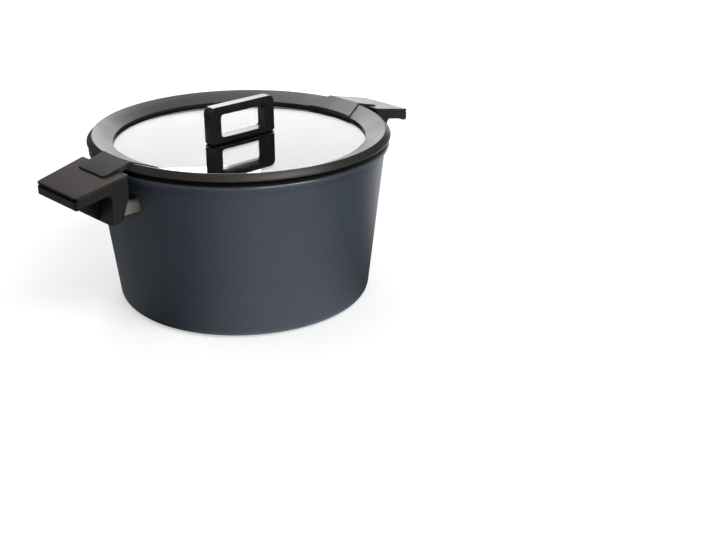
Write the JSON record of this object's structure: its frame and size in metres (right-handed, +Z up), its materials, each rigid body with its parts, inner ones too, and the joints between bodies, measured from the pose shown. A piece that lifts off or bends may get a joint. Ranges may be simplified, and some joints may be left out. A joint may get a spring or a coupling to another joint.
{
  "type": "cooking pot",
  "caption": "Deep round cooking pot with two flat side handles on steel flame guards and a flat glass lid in a broad silicone rim with a loop knob and locating tabs.",
  "frame": {"origin": "centre of the base on the surface that the pot stands on", "axes": "+Z up; X along the line of the two handles; Y across it"},
  "size_m": [0.365, 0.261, 0.1722],
  "materials": {
    "nonstick_coating": "satin dark blue-grey non-stick coating on cast aluminium",
    "brushed_disc": "turned steel disc with rings of perforations",
    "brushed_guard": "brushed stainless sheet",
    "insert_brass": "plain turned brass",
    "handle_plastic": "matt black thermoset",
    "cover_plastic": "soft-touch dark warm grey",
    "fastener_steel": "bright zinc-plated steel",
    "lid_glass": "flat toughened glass, highly polished",
    "rim_silicone": "satin warm grey silicone",
    "knob_plastic": "satin black",
    "gasket_silicone": "black silicone"
  },
  "bodies": {
    "pot": {"pot_body": "nonstick_coating", "induction_disc": "brushed_disc", "left_flame_guard": "brushed_guard", "right_flame_guard": "brushed_guard", "left_thread_insert": "insert_brass", "right_thread_insert": "insert_brass", "left_handle_body": "handle_plastic", "right_handle_body": "handle_plastic", "left_handle_cover": "cover_plastic", "right_handle_cover": "cover_plastic", "left_spring_washer": "fastener_steel", "right_spring_washer": "fastener_steel", "left_handle_screw": "fastener_steel", "right_handle_screw": "fastener_steel"},
    "lid": {"lid_glass": "lid_glass", "lid_rim": "rim_silicone", "knob": "knob_plastic", "knob_gasket": "gasket_silicone", "backing_gasket": "gasket_silicone", "backing_plate": "fastener_steel", "knob_inserts": "insert_brass", "knob_screws": "fastener_steel"}
  },
  "joints": [
    {"name": "lid_lift", "type": "slide", "parent": "pot", "child": "lid", "axis": [0, 0, 1], "range_m": [0, 0.09]}
  ]
}
